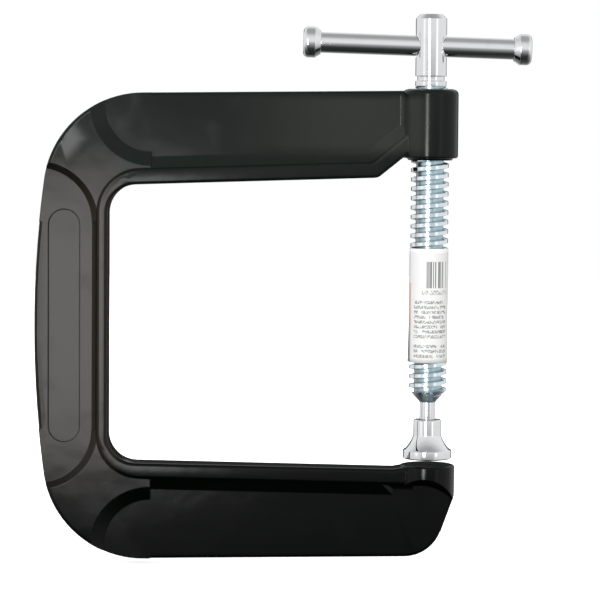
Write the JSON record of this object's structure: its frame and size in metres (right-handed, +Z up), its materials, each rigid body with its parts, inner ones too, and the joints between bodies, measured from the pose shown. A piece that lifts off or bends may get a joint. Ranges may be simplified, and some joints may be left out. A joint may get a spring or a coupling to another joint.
{
  "type": "C clamp",
  "caption": "Deep-throat C clamp: a T-section cast bow whose trapezoidal screw, turned by a sliding cross bar, drives a swivelling pad down onto the anvil.",
  "frame": {"origin": "middle of the anvil's flat face, on the screw's axis", "axes": "+Z up along the screw, from the anvil to the cross bar; +X from the spine to the open mouth; +Y away from the viewer's side, square to the bow"},
  "size_m": [0.1581, 0.0178, 0.1749],
  "materials": {
    "frame": "glossy black enamel over a casting",
    "spindle": "bright zinc plate, bluish white on the thread",
    "snap_ring": "bare spring wire",
    "swivel_pad": "bright plate, softly polished",
    "t_bar": "bright plate, polished",
    "bar_caps": "bright plate, polished",
    "label": null
  },
  "bodies": {
    "bow": {"frame": "frame"},
    "screw_carrier": {"snap_ring": "snap_ring"},
    "screw": {"spindle": "spindle", "label": "label"},
    "cross_bar": {"t_bar": "t_bar", "bar_cap_left": "bar_caps", "bar_cap_right": "bar_caps"},
    "pad": {"swivel_pad": "swivel_pad"}
  },
  "joints": [
    {"name": "screw_travel", "type": "slide", "parent": "bow", "child": "screw_carrier", "axis": [0, 0, 1], "range_m": [0, 0.075]},
    {"name": "screw_turn", "type": "hinge", "parent": "screw_carrier", "child": "screw", "pos_m": [0, 0, 0.00692], "axis": [0, 0, 1], "range_deg": [0, 9000], "deforming": ["label"]},
    {"name": "bar_slide", "type": "slide", "parent": "screw", "child": "cross_bar", "axis": [0.9996, 0, -0.0288], "range_m": [-0.021, 0.0298]},
    {"name": "pad_tilt", "type": "hinge", "parent": "screw_carrier", "child": "pad", "pos_m": [0, 0, 0.00692], "axis": [0, 1, 0], "range_deg": [-6, 6]}
  ],
  "couplings": [
    {"joint": "screw_travel", "follows": "screw_turn", "m_per_rad": 0.00047746}
  ]
}
